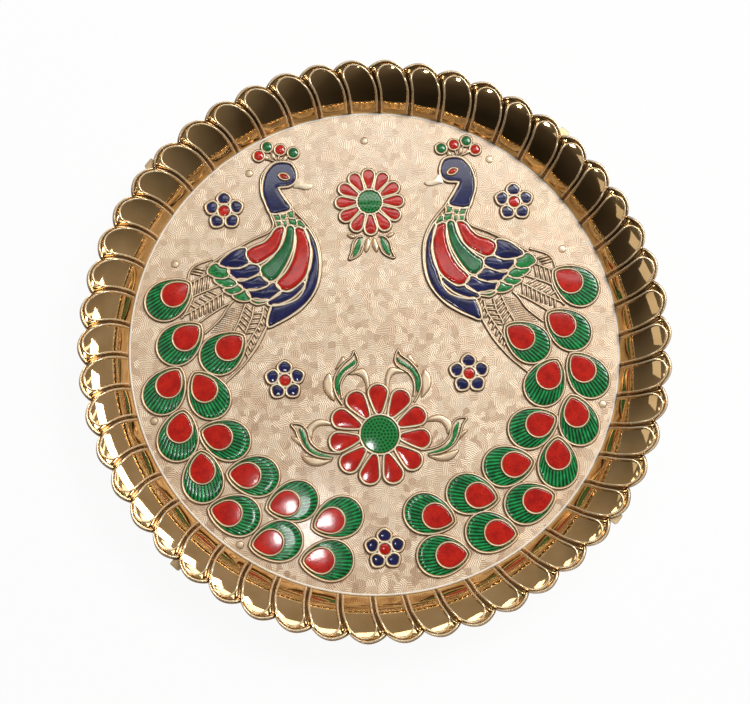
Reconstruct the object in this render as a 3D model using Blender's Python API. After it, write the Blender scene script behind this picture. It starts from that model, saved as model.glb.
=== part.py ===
"""A puja thali: a gilded moulded plate with a scalloped, fluted rim, and in its well a stuck-in
inlay disc that carries coloured enamel pads, laid out as two facing peacocks among flowers.

Axes: +Z up, Z = 0 is the table, the plate's centre is on the Z axis, and +Y is the artwork's top.
Every size below is in millimetres and is turned into metres where a mesh is made.
"""

import math

import bmesh
import bpy
from mathutils import Matrix, Vector

MM = 0.001

# The plate body
well_radius = 82.0
rim_width = 14.0  # from the well's edge to the lobe tips
lobe_count = 50
lobe_bulge = 2.3  # how far the lobes stand out past the valleys between them
lobe_fullness = 0.7  # under 1 gives a lobe square shoulders
first_valley_angle = -4.2
floor_thickness = 1.4
wall_thickness = 1.5
cove_gap = 0.1  # from the well's edge to the foot of the rim's slope
cove_start = 1.2  # and that foot's height over the floor
rim_rise = 13.6
flute_depth = 0.4
flute_swirl = 2.7  # degrees that a rib turns between the well and the lip
rib_height = 0.55
lip_roll = 0.9  # how far the lip's crest lies inside its edge
lip_fall = 0.3  # and how much higher it lies
skirt_drop = 7.0
skirt_lean = 0.3
skirt_thickness = 1.0
lip_thickness = 2.2
foot_inset = 6.0  # the foot ring's outer edge, in from the well's
foot_width = 3.0
foot_height = 1.2
# Sections of the rim's slope, steep at the well and flatter towards the lip: the shares of the way
# out and of the way up, how much the section follows the lobes, the flutes' depth, the ribs' turn
# and how much of their height the ribs have there
slope_sections = (
    (0.0, 0.0, 0.0, 0.0, 0.0, 0.0),
    (0.095, 0.242, 0.0, 0.1, 0.02, 1.0),
    (0.198, 0.395, 0.0, 0.2, 0.05, 1.0),
    (0.328, 0.540, 0.03, 0.3, 0.10, 1.0),
    (0.466, 0.673, 0.08, 0.5, 0.19, 1.0),
    (0.621, 0.790, 0.18, 0.8, 0.36, 1.0),
    (0.784, 0.879, 0.38, 1.0, 0.60, 0.8),
)
# Across a lobe: each point's share of the way to the next lobe, and how far the ribs stand there.
# The groove in a pair of ribs comes first, then a rib's top and foot
lobe_points = (
    (0.0, 0.2),
    (0.075, 1.0),
    (0.125, 0.0),
    (0.3, 0.0),
    (0.5, 0.0),
    (0.7, 0.0),
    (0.875, 0.0),
    (0.925, 1.0),
)
crest_turn = 0.85
crest_follow = 0.9
crest_flute = 0.25
edge_flute = 0.1
floor_segments = 50

# The four trimmed moulding gates between lobes
gate_angles = (139.4, 46.2, -133.6, -39.3)
gate_width = 3.6
gate_height = 2.4
gate_reach = 0.6  # past the lobe tips
gate_root = 1.5
gate_sink = 2.6  # the gates' middle below the lip's crest

# The inlay disc and what sticks it down
disc_clearance = 0.4  # between the disc's edge and the well's
disc_thickness = 1.0
disc_edge_bevel = 0.35
disc_segments = 100
seat_gap = 0.2
glue_thickness = 0.4
glue_ring_inset = 7.6  # in from the disc's edge
glue_ring_width = 12.0
glue_pad_radius = 30.0

# The enamel. The artwork below is drawn at its real size and fitted to the disc by its reach
artwork_margin = 3.0
enamel_thickness = 0.5
enamel_bevel = 0.12

# A tail eye: a red drop inside a green crescent, both pointing the same way
eye_green_radius = 6.4
eye_green_tip = 10.4
eye_red_radius = 4.0
eye_red_tip = 5.8
eye_red_offset = 3.8
eye_arc_steps = 9
tail_eyes = (
    # x, y of the red drop's round part, and the way that it points, in degrees
    (-66.5, 19.6, 36.0),
    (-63.0, 4.7, 40.0),
    (-48.9, 0.9, 38.0),
    (-68.6, -10.8, 56.0),
    (-56.8, -12.7, 120.0),
    (-65.2, -25.7, 78.0),
    (-52.3, -28.5, 159.0),
    (-58.1, -39.4, 93.0),
    (-43.4, -41.3, 173.0),
    (-49.7, -53.3, 165.0),
    (-31.0, -50.8, 192.0),
    (-36.6, -63.1, 186.0),
    (-16.7, -56.9, 198.0),
    (-20.5, -69.6, 179.0),
)
# Low necks of green join the eyes of one tail, pair by pair
tail_links = "1-2 2-3 3-5 4-5 4-6 5-7 7-9 9-10 8-10 9-11 11-12 11-13 13-14"
green_floor = 0.25  # the green lies under the red drop as a thin floor
link_width = 1.6
link_bite = 1.2  # how far a neck runs into each eye's round part
link_inset = 0.04  # how far a neck's faces lie inside the green's own

# The flowers
big_flower_place = (0.0, -29.6)
big_flower_petals = 11
big_flower_radius = 16.2
big_flower_notch = 14.2
big_flower_heart = 6.2
top_flower_place = (0.0, 49.7)
top_flower_petals = 12
top_flower_radius = 11.7
top_flower_notch = 10.3
top_flower_heart = 4.2
heart_wall = 0.9
small_flower_petals = 5
small_flower_radius = 6.3
small_flower_notch = 3.6
small_flower_heart = 2.0
petal_fullness = 0.75  # under 1 gives a petal square shoulders
small_flower_places = {
    "upper_left": (-49.2, 48.1),
    "upper_right": (49.2, 48.1),
    "middle_left": (-30.5, -10.5),
    "middle_right": (30.5, -10.5),
    "bottom": (0.0, -66.8),
}
petal_steps = 6

# Outlines of one bird's enamel, left of the artwork's centre line, as smooth closed curves
neck_outline = (
    (-28.4, 64.2),
    (-25.3, 61.4),
    (-25.5, 57.6),
    (-30.6, 55.9),
    (-27.4, 48.4),
    (-30.2, 47.3),
    (-33.3, 47.3),
    (-35.4, 52.4),
    (-35.5, 57.3),
    (-33.0, 62.8),
)
collar_outline = (
    (-32.8, 46.3),
    (-30.0, 46.3),
    (-27.0, 47.2),
    (-24.6, 45.0),
    (-23.2, 42.4),
    (-27.4, 42.4),
    (-31.2, 42.6),
)
breast_outline = (
    (-21.6, 39.8),
    (-19.7, 33.6),
    (-20.4, 27.2),
    (-22.6, 20.8),
    (-27.6, 16.0),
    (-33.8, 13.9),
    (-35.0, 8.9),
    (-27.6, 11.9),
    (-21.4, 17.4),
    (-18.6, 24.0),
    (-18.3, 30.6),
    (-20.1, 38.2),
)
back_feather_outline = (
    (-32.0, 40.8),
    (-30.0, 41.2),
    (-30.3, 38.2),
    (-32.9, 33.2),
    (-38.2, 29.9),
    (-41.2, 31.8),
    (-39.9, 34.8),
    (-34.8, 37.2),
)
middle_feather_outline = (
    (-27.7, 41.3),
    (-26.5, 41.3),
    (-26.9, 34.4),
    (-30.5, 26.8),
    (-34.6, 23.8),
    (-36.8, 26.8),
    (-32.6, 31.8),
    (-29.2, 36.4),
)
front_feather_outline = (
    (-24.8, 41.0),
    (-22.9, 40.0),
    (-21.2, 33.4),
    (-22.8, 24.8),
    (-28.2, 20.4),
    (-31.6, 22.2),
    (-27.2, 28.4),
    (-25.2, 35.0),
)
back_scales_outline = (
    (-50.6, 29.6),
    (-46.8, 32.6),
    (-43.6, 33.8),
    (-42.4, 30.4),
    (-38.9, 28.3),
    (-37.4, 23.9),
    (-33.4, 21.8),
    (-31.0, 19.4),
    (-27.0, 19.2),
    (-23.9, 20.8),
    (-28.4, 16.8),
    (-34.0, 15.8),
    (-40.6, 19.8),
    (-47.6, 26.2),
)
rump_scales_outline = (
    (-54.2, 27.6),
    (-52.6, 28.8),
    (-48.6, 25.6),
    (-44.2, 20.6),
    (-40.4, 17.2),
    (-37.0, 15.8),
    (-41.9, 16.6),
    (-46.6, 19.2),
    (-50.4, 22.2),
)
outline_steps = 3
smooth_under_angle = 35.0  # faces that meet at less than this are shaded as one surface

# Colours and finish of the materials
gilt = ((0.80, 0.56, 0.22), 0.18, 1.0)
pale_gilt = ((0.84, 0.76, 0.60), 0.32, 1.0)
glue_white = ((0.85, 0.84, 0.80), 0.60, 0.0)
navy = ((0.030, 0.035, 0.130), 0.15, 0.0)
ruby = ((0.620, 0.010, 0.012), 0.15, 0.0)
leaf_green = ((0.010, 0.220, 0.060), 0.15, 0.0)


# Sizes that follow from the ones above
lobe_tip_radius = well_radius + rim_width
valley_radius = lobe_tip_radius - lobe_bulge
foot_radius = well_radius - foot_inset
disc_radius = well_radius - disc_clearance
glue_ring_radius = disc_radius - glue_ring_inset


def clear_scene():
    for old in list(bpy.data.objects):
        bpy.data.objects.remove(old, do_unlink=True)


def material(name, finish):
    colour, roughness, metallic = finish
    made = bpy.data.materials.new(name)
    made.use_nodes = True
    shader = made.node_tree.nodes["Principled BSDF"]
    shader.inputs["Base Color"].default_value = (*colour, 1.0)
    shader.inputs["Roughness"].default_value = roughness
    shader.inputs["Metallic"].default_value = metallic
    return made


def add_object(name, mesh_work, finish, place=(0.0, 0.0), spread=1.0):
    """Makes a named object of this bmesh, whose points are in millimetres about the given place.
    The spread scales it and its place in the disc's plane."""
    bmesh.ops.recalc_face_normals(mesh_work, faces=mesh_work.faces)
    bmesh.ops.scale(mesh_work, vec=(MM * spread, MM * spread, MM), verts=mesh_work.verts)
    mesh = bpy.data.meshes.new(name)
    mesh_work.to_mesh(mesh)
    mesh_work.free()
    mesh.shade_smooth()
    mesh.set_sharp_from_angle(angle=math.radians(smooth_under_angle))
    mesh.materials.append(material(name, finish))
    made = bpy.data.objects.new(name, mesh)
    made.location = (place[0] * MM * spread, place[1] * MM * spread, 0.0)
    bpy.context.scene.collection.objects.link(made)
    return made


def polar(radius, degrees, height=0.0):
    angle = math.radians(degrees)
    return Vector((radius * math.cos(angle), radius * math.sin(angle), height))


def add_ring(mesh_work, points):
    return [mesh_work.verts.new(point) for point in points]


def join_rings(mesh_work, outer, inner):
    """Faces between two closed rings. The outer one holds a whole number of points per inner one."""
    share = len(outer) // len(inner)
    for i, here in enumerate(inner):
        there = inner[(i + 1) % len(inner)]
        run = [outer[(i * share + step) % len(outer)] for step in range(share + 1)]
        mesh_work.faces.new(run + [there, here])


def slab(outline, bottom, thickness, bevel=0.0):
    """A flat pad with this outline. The bevel draws the top edge in towards the pad's inside."""
    work = bmesh.new()
    low = add_ring(work, [Vector((x, y, bottom)) for x, y in outline])
    high = add_ring(work, [Vector((x, y, bottom + thickness - bevel)) for x, y in outline])
    work.faces.new(low)
    join_rings(work, low, high)
    top = work.faces.new(high)
    if bevel:
        bmesh.ops.inset_region(work, faces=[top], thickness=bevel, depth=0.0)
        for vertex in top.verts:
            vertex.co.z = bottom + thickness
    return work


def ring_slab(outer, inner, bottom, thickness):
    """A flat pad with a hole, whose two outlines have the same number of points."""
    work = bmesh.new()
    rings = []
    for outline, height in ((outer, 0.0), (outer, thickness), (inner, thickness), (inner, 0.0)):
        rings.append(add_ring(work, [Vector((x, y, bottom + height)) for x, y in outline]))
    for i, ring in enumerate(rings):
        join_rings(work, ring, rings[(i + 1) % len(rings)])
    return work


def circle(radius, segments):
    return [polar(radius, 360.0 * i / segments).xy for i in range(segments)]


def smooth_outline(corners):
    """Points on a closed Catmull-Rom curve through these corners."""
    count = len(corners)
    points = []
    for i in range(count):
        before, start, end, after = (Vector(corners[(i + k - 1) % count]) for k in range(4))
        for step in range(outline_steps):
            t = step / outline_steps
            curve = (
                start * 2.0
                + (end - before) * t
                + (before * 2.0 - start * 5.0 + end * 4.0 - after) * t**2
                + (start * 3.0 - before - end * 3.0 + after) * t**3
            )
            points.append(curve / 2.0)
    return points


def artwork_scale():
    """What fits the drawn artwork, whose outermost points are the tail eyes', to the disc."""
    reach = 0.0
    for eye in tail_eyes:
        centre = eye_points([Vector((0.0, 0.0))], eye, eye_red_offset)[0]
        reach = max(reach, centre.length + eye_green_radius)
    return (disc_radius - artwork_margin) / reach


def mirrored(points):
    return [(-point[0], point[1]) for point in reversed(points)]


def drop_outline(radius, tip):
    """A drop about its round part's centre, pointing along +X: an arc and a pointed end."""
    half = math.degrees(math.acos(radius / tip))
    arc = [half + (360.0 - 2.0 * half) * i / eye_arc_steps for i in range(eye_arc_steps + 1)]
    return [Vector((tip, 0.0))] + [polar(radius, angle).xy for angle in arc]


def eye_points(outline, eye, offset):
    """An eye's outline at its place: turned, with its centre this far behind the red drop."""
    x, y, direction = eye
    turn = math.radians(direction)
    along = Vector((math.cos(turn), math.sin(turn)))
    across = Vector((-math.sin(turn), math.cos(turn)))
    centre = Vector((x, y)) - along * offset
    return [centre + along * point.x + across * point.y for point in outline]


def slope_normals():
    """The direction out of the rim's slope at each section, as shares inwards and upwards."""
    spots = [Vector(section[:2]) for section in slope_sections]
    span = valley_radius - well_radius - cove_gap
    climb = rim_rise - cove_start
    normals = []
    for i in range(len(spots)):
        run = spots[min(i + 1, len(spots) - 1)] - spots[max(i - 1, 0)]
        normals.append(Vector((run.y * climb, run.x * span)).normalized())
    return normals


def rim_profile():
    """Sections of the rim from the slope's foot out to the lip and down the skirt. Each gives the
    radius, the height over the floor, how much it follows the lobes, how deep the flutes are
    there and how far the ribs have turned, as shares of the full amounts, and how far the ribs
    stand out inwards and upwards."""
    start = well_radius + cove_gap
    span = valley_radius - start
    climb = rim_rise - cove_start
    sections = []
    for section, normal in zip(slope_sections, slope_normals()):
        out, up, follow, flute, turn, stand = section
        place = (start + span * out, cove_start + climb * up, follow, flute, turn)
        sections.append((*place, rib_height * stand * normal.x, rib_height * stand * normal.y))
    crest = (valley_radius - lip_roll, rim_rise, crest_follow, crest_flute, crest_turn)
    edge = (valley_radius, rim_rise - lip_fall, 1.0, edge_flute, 1.0)
    bottom = (valley_radius - skirt_lean, rim_rise - skirt_drop, 1.0, 0.0, 1.0)
    sections += [(*place, 0.0, 0.0) for place in (crest, edge, bottom)]
    return sections


def rim_ring(section, inset=0.0, drop=0.0):
    """The section's points all round the rim."""
    radius, height, follow, flute, turn, inwards, upwards = section
    points = []
    for lobe in range(lobe_count):
        for share, stand in lobe_points:
            bulge = math.sin(math.pi * share) ** lobe_fullness if share else 0.0
            reach = (lobe_tip_radius - valley_radius) * follow * bulge - inwards * stand
            dip = flute_depth * flute * math.sin(math.pi * share) - upwards * stand
            swirl = flute_swirl * (turn - 1.0)
            angle = first_valley_angle + 360.0 * (lobe + share) / lobe_count + swirl
            level = foot_height + floor_thickness + height - dip - drop
            points.append(polar(radius + reach - inset, angle, level))
    return points


def back_ring(section, inset, drop=0.0):
    """A section's points on the plate's hidden side: every second one, and without the ribs."""
    return rim_ring((*section[:5], 0.0, 0.0), inset, drop)[::2]


def plain_ring(radius, height):
    angle = first_valley_angle - flute_swirl
    return [polar(radius, angle + 360.0 * i / floor_segments, height) for i in range(floor_segments)]


def plate_mesh():
    """The one-piece plate: floor, fluted rim that rises steeply and flattens outwards, lip, skirt."""
    work = bmesh.new()
    floor_top = foot_height + floor_thickness
    profile = rim_profile()
    rings = [plain_ring(well_radius, floor_top)]
    rings += [rim_ring(section) for section in profile]
    rings.append(back_ring(profile[-1], skirt_thickness))
    rings.append(back_ring(profile[-2], skirt_thickness, lip_thickness))
    for section, normal in reversed(list(zip(profile, slope_normals()))):
        rings.append(back_ring(section, -wall_thickness * normal.x, wall_thickness * normal.y))
    rings.append(plain_ring(well_radius, foot_height))
    rings.append(plain_ring(foot_radius, foot_height))
    rings.append(plain_ring(foot_radius, 0.0))
    rings.append(plain_ring(foot_radius - foot_width, 0.0))
    rings.append(plain_ring(foot_radius - foot_width, foot_height))
    made = [add_ring(work, points) for points in rings]
    for here, there in zip(made, made[1:]):
        if len(here) >= len(there):
            join_rings(work, here, there)
        else:
            join_rings(work, there, here)
    work.faces.new(made[0])
    work.faces.new(made[-1])
    bmesh.ops.triangulate(work, faces=work.faces)
    return work


def gate_mesh():
    """The four trimmed gates, as blocks that reach from inside the lip to past the lobe tips."""
    work = bmesh.new()
    lip_height = foot_height + floor_thickness + rim_rise
    for angle in gate_angles:
        block = bmesh.ops.create_cube(work, size=1.0)["verts"]
        length = lobe_tip_radius + gate_reach - valley_radius + gate_root
        bmesh.ops.scale(work, vec=(length, gate_width, gate_height), verts=block)
        middle = (valley_radius - gate_root + length / 2.0, 0.0, lip_height - gate_sink)
        bmesh.ops.translate(work, vec=middle, verts=block)
        turn = Matrix.Rotation(math.radians(angle), 3, "Z")
        bmesh.ops.rotate(work, cent=(0.0, 0.0, 0.0), matrix=turn, verts=block)
    return work


def make_plate_body():
    body = add_object("plate_body", plate_mesh(), gilt)
    gates = add_object("gate_blocks", gate_mesh(), gilt)
    gates.hide_render = True
    gates.display_type = "WIRE"
    union = body.modifiers.new("gates", "BOOLEAN")
    union.operation = "UNION"
    union.object = gates
    return body


def levels():
    """The heights of the stack in the well: the glue's bottom, the disc's and the enamel's."""
    glue = foot_height + floor_thickness + seat_gap
    disc = glue + glue_thickness + seat_gap
    enamel = disc + disc_thickness + seat_gap
    return glue, disc, enamel


def make_inlay_and_glue():
    glue, disc, _ = levels()
    ring_outer = circle(glue_ring_radius, floor_segments)
    ring_inner = circle(glue_ring_radius - glue_ring_width, floor_segments)
    add_object("glue_ring", ring_slab(ring_outer, ring_inner, glue, glue_thickness), glue_white)
    pad = slab(circle(glue_pad_radius, floor_segments), glue, glue_thickness)
    add_object("glue_pad", pad, glue_white)
    plate = slab(circle(disc_radius, disc_segments), disc, disc_thickness, disc_edge_bevel)
    add_object("inlay_disc", plate, pale_gilt)


def petal_outline(petals, radius, notch):
    """A flower's outer edge: round petals that meet in notches, with one petal at the top."""
    total = petals * petal_steps
    points = []
    for i in range(total):
        share = (i % petal_steps) / petal_steps
        swell = math.sin(math.pi * share) ** petal_fullness if share else 0.0
        angle = 90.0 + 360.0 * (i / total - 0.5 / petals)
        points.append(polar(notch + (radius - notch) * swell, angle).xy)
    return points


def make_flower(name, place, petals, sizes, finishes, has_heart):
    """Petals in one ring round a heart, which is a pad of its own where has_heart is set."""
    radius, notch, heart = sizes
    petal_finish, heart_finish = finishes
    _, _, bottom = levels()
    outer = petal_outline(petals, radius, notch)
    inner = circle(heart + heart_wall, len(outer))
    turned = Matrix.Rotation(math.radians(90.0 - 180.0 / petals), 2)
    inner = [turned @ point for point in inner]
    ring = ring_slab(outer, inner, bottom, enamel_thickness)
    add_object(f"{name}_petals", ring, petal_finish, place, artwork_scale())
    if has_heart:
        pad = slab(circle(heart, 2 * petals), bottom, enamel_thickness, enamel_bevel)
        add_object(f"{name}_heart", pad, heart_finish, place, artwork_scale())


def make_flowers():
    big = (big_flower_radius, big_flower_notch, big_flower_heart)
    make_flower("big_flower", big_flower_place, big_flower_petals, big, (ruby, leaf_green), True)
    top = (top_flower_radius, top_flower_notch, top_flower_heart)
    make_flower("top_flower", top_flower_place, top_flower_petals, top, (ruby, leaf_green), True)
    small = (small_flower_radius, small_flower_notch, small_flower_heart)
    for spot, place in small_flower_places.items():
        name = f"small_flower_{spot}"
        make_flower(name, place, small_flower_petals, small, (navy, ruby), False)


def sides():
    return (("left", False), ("right", True))


def make_bird_enamel():
    """Both birds' body colours, one pad for each cell or group of like cells."""
    cells = (
        ("neck", neck_outline, navy),
        ("collar", collar_outline, leaf_green),
        ("breast", breast_outline, navy),
        ("back_feather", back_feather_outline, ruby),
        ("middle_feather", middle_feather_outline, leaf_green),
        ("front_feather", front_feather_outline, ruby),
        ("back_scales", back_scales_outline, navy),
        ("rump_scales", rump_scales_outline, leaf_green),
    )
    _, _, bottom = levels()
    for cell, corners, finish in cells:
        points = smooth_outline(corners)
        for side, flip in sides():
            outline = mirrored(points) if flip else points
            pad = slab(outline, bottom, enamel_thickness)
            add_object(f"{side}_{cell}", pad, finish, spread=artwork_scale())


def add_to(work, other):
    """Adds another bmesh's solids to this one."""
    mesh = bpy.data.meshes.new("moved")
    other.to_mesh(mesh)
    other.free()
    work.from_mesh(mesh)
    bpy.data.meshes.remove(mesh)


def link_outline(first, second):
    """A neck's outline from one eye's round part to the next one's."""
    start, end = (eye_points([Vector((0.0, 0.0))], eye, eye_red_offset)[0] for eye in (first, second))
    along = (end - start).normalized()
    across = Vector((-along.y, along.x)) * link_width / 2.0
    near = start + along * (eye_green_radius - link_bite)
    far = end - along * (eye_green_radius - link_bite)
    return [near - across, far - across, far + across, near + across]


def make_tail(side, flip):
    """The red drops as pads of their own, over one thin green body that necks hold together."""
    _, _, bottom = levels()
    place = mirrored if flip else list
    red = drop_outline(eye_red_radius, eye_red_tip)
    green = drop_outline(eye_green_radius, eye_green_tip)
    eyes_work = bmesh.new()
    for number, eye in enumerate(tail_eyes, start=1):
        drop = place(eye_points(red, eye, 0.0))
        drop_work = slab(drop, bottom + green_floor + seat_gap, enamel_thickness, enamel_bevel)
        add_object(f"{side}_tail_eye_{number}", drop_work, ruby, spread=artwork_scale())
        outer = place(eye_points(green, eye, eye_red_offset))
        add_to(eyes_work, slab(outer, bottom, green_floor))
    links_work = bmesh.new()
    for link in tail_links.split():
        first, second = (tail_eyes[int(number) - 1] for number in link.split("-"))
        outline = place(link_outline(first, second))
        add_to(links_work, slab(outline, bottom + link_inset, green_floor - 2.0 * link_inset))
    body = add_object(f"{side}_tail_green", eyes_work, leaf_green, spread=artwork_scale())
    links = add_object(f"{side}_tail_links", links_work, leaf_green, spread=artwork_scale())
    links.hide_render = True
    links.display_type = "WIRE"
    union = body.modifiers.new("links", "BOOLEAN")
    union.operation = "UNION"
    union.object = links


clear_scene()
make_plate_body()
make_inlay_and_glue()
make_flowers()
make_bird_enamel()
for side_name, is_right in sides():
    make_tail(side_name, is_right)
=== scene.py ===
"""The looks of a gilt puja thali: mirror-like scalloped rim, hatched foil disc, raised cream walls
and the glossy enamel between them. Lengths are in millimetres and MM turns them into metres.
"""

import math

import bpy
import numpy as np
from mathutils import Matrix, Vector
from mathutils.geometry import delaunay_2d_cdt


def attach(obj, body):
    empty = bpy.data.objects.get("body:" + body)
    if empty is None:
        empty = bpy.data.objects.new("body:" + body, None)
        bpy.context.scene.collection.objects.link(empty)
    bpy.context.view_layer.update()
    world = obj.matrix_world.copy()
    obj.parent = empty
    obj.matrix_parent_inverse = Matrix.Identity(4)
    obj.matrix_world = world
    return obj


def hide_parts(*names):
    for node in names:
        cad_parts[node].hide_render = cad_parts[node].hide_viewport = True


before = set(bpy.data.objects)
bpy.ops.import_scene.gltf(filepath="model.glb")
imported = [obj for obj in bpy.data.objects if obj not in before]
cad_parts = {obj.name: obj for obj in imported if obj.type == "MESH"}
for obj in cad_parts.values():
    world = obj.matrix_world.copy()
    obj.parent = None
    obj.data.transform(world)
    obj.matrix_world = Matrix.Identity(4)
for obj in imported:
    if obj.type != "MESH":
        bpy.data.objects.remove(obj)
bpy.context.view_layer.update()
MM = 0.001

# Heights of what lies in the well
disc_top = 4.4
disc_bottom = 3.4
enamel_foot = disc_top - 0.02
wall_base = 4.36
wall_top = 5.12
wall_width = 0.85
# Painted shade: a brown line along each side of every wall, where it meets the foil and the enamel.
shade_line_width = 0.24  # the brown line that shows on each side of a wall
shade_line_top = 4.97
hatch_pitch = 0.6  # between the lines stamped in the foil
hatch_patches = 0.46  # patches of lines in each millimetre
hatch_warp = 0.9  # how far the patches' edges wander
dot_pitch = 1.12  # between the rings of dots in a flower's heart
skin_level = 4.86  # of the enamel at a cell's edge
skin_rise = 0.16  # and how much higher its middle is

# The rim, from the disc's edge out to the lip
lobe_count = 50
first_valley = -4.2  # degrees, at the lip
swirl = 2.7  # degrees that the ribs turn on their way out
well_floor = 2.6
disc_radius = 81.6
round_count = 360  # sides of the disc
slope_foot = 81.66
slope_end = 92.4
rib_reach = 1.4  # half of a rib pair's width
rib_middle = 0.85  # a rib's own middle, off the pair's, its half width and its height
rib_half = 0.46
rib_stand = 0.65
panel_sag = 0.22
# The slope's radius, its height and how far the ribs have turned there
slope_table = (
    (81.66, 4.3, 0.0),
    (82.2, 5.2, 0.01),
    (82.7, 6.05, 0.015),
    (83.2, 6.8, 0.02),
    (84.4, 8.7, 0.05),
    (85.9, 10.5, 0.10),
    (87.5, 12.15, 0.19),
    (89.3, 13.55, 0.36),
    (91.2, 14.6, 0.60),
    (92.7, 15.22, 0.82),
    (94.0, 15.58, 0.97),
    (95.6, 15.97, 1.0),
)
lip_rise = 0.5  # the lip's crest over the slope inside it
lip_inner = 0.4
lip_outer = 0.9
valley_edge = 93.7
lip_ring = 93.5  # the lip's columns are spread along a ring of this radius
arch_radius = 0.37
line_radius = 0.33
lobe_bulge = 2.7
skirt_bottom = 9.2


# Materials

class Nodes:
    """A node tree whose nodes are made one by one and joined by name."""

    def __init__(self, owner):
        owner.use_nodes = True
        self.tree = owner.node_tree

    def node(self, kind, inputs=(), **settings):
        made = self.tree.nodes.new("ShaderNode" + kind)
        for key, value in settings.items():
            setattr(made, key, value)
        for key, value in dict(inputs).items():
            if isinstance(value, bpy.types.NodeSocket):
                self.tree.links.new(value, made.inputs[key])
            else:
                made.inputs[key].default_value = value
        return made

    def math(self, operation, *values):
        return self.node("Math", dict(enumerate(values)), operation=operation).outputs[0]

    def vector(self, operation, inputs):
        return self.node("VectorMath", inputs, operation=operation).outputs[0]

    def total(self, start, *terms):
        """The start plus each term's value, less its middle, times its weight."""
        for value, middle, weight in terms:
            if middle:
                value = self.math("SUBTRACT", value, middle)
            start = self.math("ADD", start, self.math("MULTIPLY", value, weight))
        return start

    def ramp(self, value, *stops):
        """Colours at places along a value from 0 to 1."""
        made = self.node("ValToRGB", {"Fac": value})
        elements = made.color_ramp.elements
        while len(elements) < len(stops):
            elements.new(0.5)
        for element, (position, colour) in zip(elements, stops):
            element.position = position
            element.color = (*colour, 1.0)
        return made.outputs["Color"]


class Shader(Nodes):
    """A material. Its surface's values are given by their sockets' names."""

    def __init__(self, name, **values):
        self.material = bpy.data.materials.new(name)
        super().__init__(self.material)
        self.surface = self.tree.nodes["Principled BSDF"]
        for key, value in values.items():
            self.surface.inputs[key.replace("_", " ")].default_value = value

    def link(self, socket, key):
        self.tree.links.new(socket, self.surface.inputs[key])

    def place(self):
        """The surface's point in millimetres."""
        place = self.node("TexCoord").outputs["Object"]
        return self.vector("SCALE", {0: place, "Scale": 1000.0})

    def noise(self, vector, scale, detail=2.0, output="Fac"):
        inputs = {"Vector": vector, "Scale": scale, "Detail": detail}
        return self.node("TexNoise", inputs).outputs[output]

    def spread(self, value, low, high, start=0.0, end=1.0):
        inputs = {"Value": value, "From Min": start, "From Max": end, "To Min": low, "To Max": high}
        return self.node("MapRange", inputs).outputs["Result"]

    def bump(self, height, strength):
        made = self.node("Bump", {"Height": height, "Strength": strength, "Distance": 0.1 * MM})
        self.link(made.outputs["Normal"], "Normal")


def gilt_material(name, tint, deep, rough, metallic=1.0):
    made = Shader(name, Metallic=metallic)
    place = made.place()
    cloud = made.noise(place, 0.12, 3.0)
    made.link(made.ramp(cloud, (0.35, deep), (0.65, tint)), "Base Color")
    smear = made.noise(place, 0.9, 4.0)
    made.link(made.spread(smear, rough * 0.6, rough * 1.5), "Roughness")
    made.bump(made.noise(place, 1.6), 0.04)
    return made.material


def foil_material():
    """Champagne foil stamped in small patches of fine parallel lines, each its own way. Some
    patches look darker than the rest, and painted shade makes them darker towards the artwork's
    foot."""
    made = Shader(
        "hatched_foil", Metallic=0.25, Roughness=0.45, Coat_Weight=0.5, Coat_Roughness=0.10
    )
    place = made.place()
    warp = made.noise(place, 0.35, output="Color")
    shift = made.vector("SUBTRACT", {0: warp, 1: (0.5, 0.5, 0.5)})
    shift = made.vector("SCALE", {0: shift, "Scale": hatch_warp})
    spot = made.vector("ADD", {0: place, 1: shift})
    cells = made.node(
        "TexVoronoi",
        {"Vector": spot, "Scale": hatch_patches, "Randomness": 0.9},
        voronoi_dimensions="2D",
        distance="CHEBYCHEV",
    )
    turn, tint, dark = made.node("SeparateColor", {"Color": cells.outputs["Color"]}).outputs
    angle = made.math("MULTIPLY", turn, math.pi)
    turned = made.node("VectorRotate", {"Vector": place, "Angle": angle}, rotation_type="Z_AXIS")
    across = made.node("SeparateXYZ", {"Vector": turned.outputs[0]}).outputs[0]
    wave = made.math("SINE", made.math("MULTIPLY", across, 2.0 * math.pi / hatch_pitch))
    lines = made.math("MULTIPLY", wave, made.spread(tint, 0.35, 1.0))
    up = made.node("SeparateXYZ", {"Vector": place}).outputs[1]
    # Painted shade: the dark patches grow stronger from the top of the artwork towards its foot.
    foot = made.spread(up, 0.35, 1.0, 40.0, -50.0)
    dark = made.math("MULTIPLY", made.spread(dark, 0.0, 1.0, 0.62, 0.80), foot)
    cloud = made.noise(place, 0.035)
    grain = made.noise(place, 2.2, 3.0)
    tone = made.total(0.70, (lines, 0.0, 0.36), (dark, 0.0, -0.36), (tint, 0.45, 0.36))
    tone = made.total(tone, (cloud, 0.5, 0.3), (grain, 0.5, 0.3))
    colour = made.ramp(
        tone,
        (0.10, (0.44, 0.28, 0.175)),
        (0.42, (0.61, 0.43, 0.28)),
        (0.75, (0.79, 0.61, 0.42)),
        (1.0, (0.93, 0.79, 0.60)),
    )
    made.link(colour, "Base Color")
    made.link(made.spread(tint, 0.40, 0.54), "Roughness")
    made.bump(made.total(lines, (grain, 0.0, 0.8)), 0.45)
    return made.material


def enamel_shader(name, roughness=0.10, coat_roughness=0.04):
    return Shader(
        name,
        Roughness=roughness,
        Specular_IOR_Level=0.4,
        Coat_Weight=0.2,
        Coat_Roughness=coat_roughness,
    )


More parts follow.
